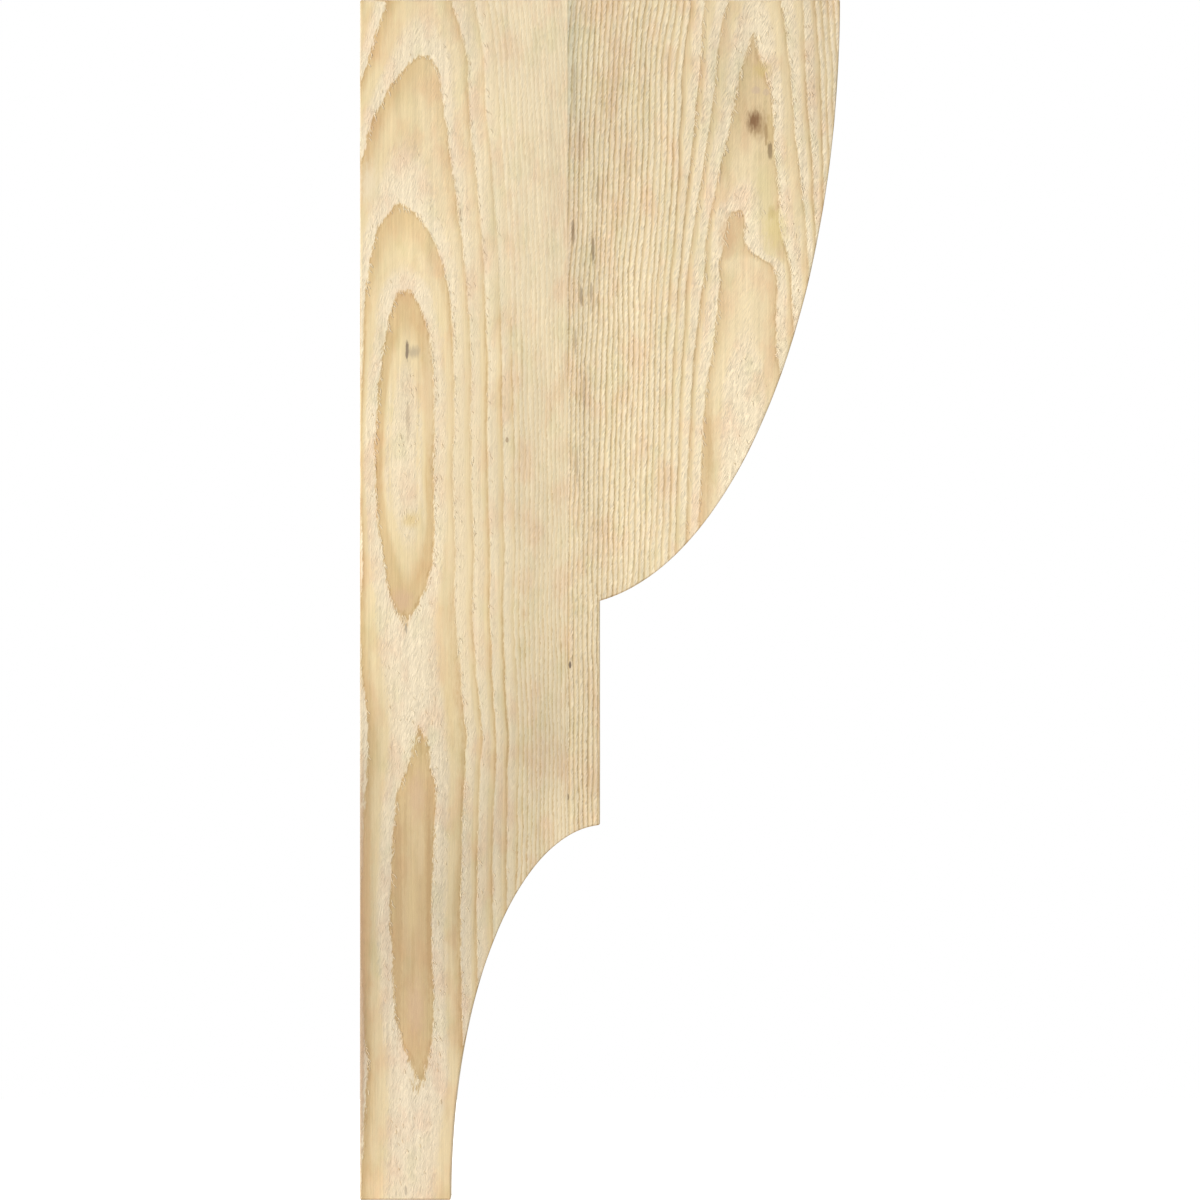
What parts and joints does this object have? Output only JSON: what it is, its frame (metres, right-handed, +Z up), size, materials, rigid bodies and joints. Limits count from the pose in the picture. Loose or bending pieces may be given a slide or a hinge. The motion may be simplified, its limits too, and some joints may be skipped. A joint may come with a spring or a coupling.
{
  "type": "wooden corbel bracket",
  "caption": "Tall wooden corbel bracket for an eave, beam or shelf: rough-sawn, glued up from planks, with a rounded lobe above a straight waist and a hollow cove.",
  "frame": {"origin": "centre of the flat back face, which is fixed to the wall", "axes": "+X out from the wall, +Z up, Y across the thickness of the timber"},
  "size_m": [0.3048, 0.0888, 0.762],
  "materials": {
    "back_board_wood": "bare rough-sawn softwood, unfinished",
    "front_board_wood": "bare rough-sawn softwood, unfinished"
  },
  "bodies": {
    "root": {"back_board": "back_board_wood", "front_board": "front_board_wood"}
  },
  "joints": []
}
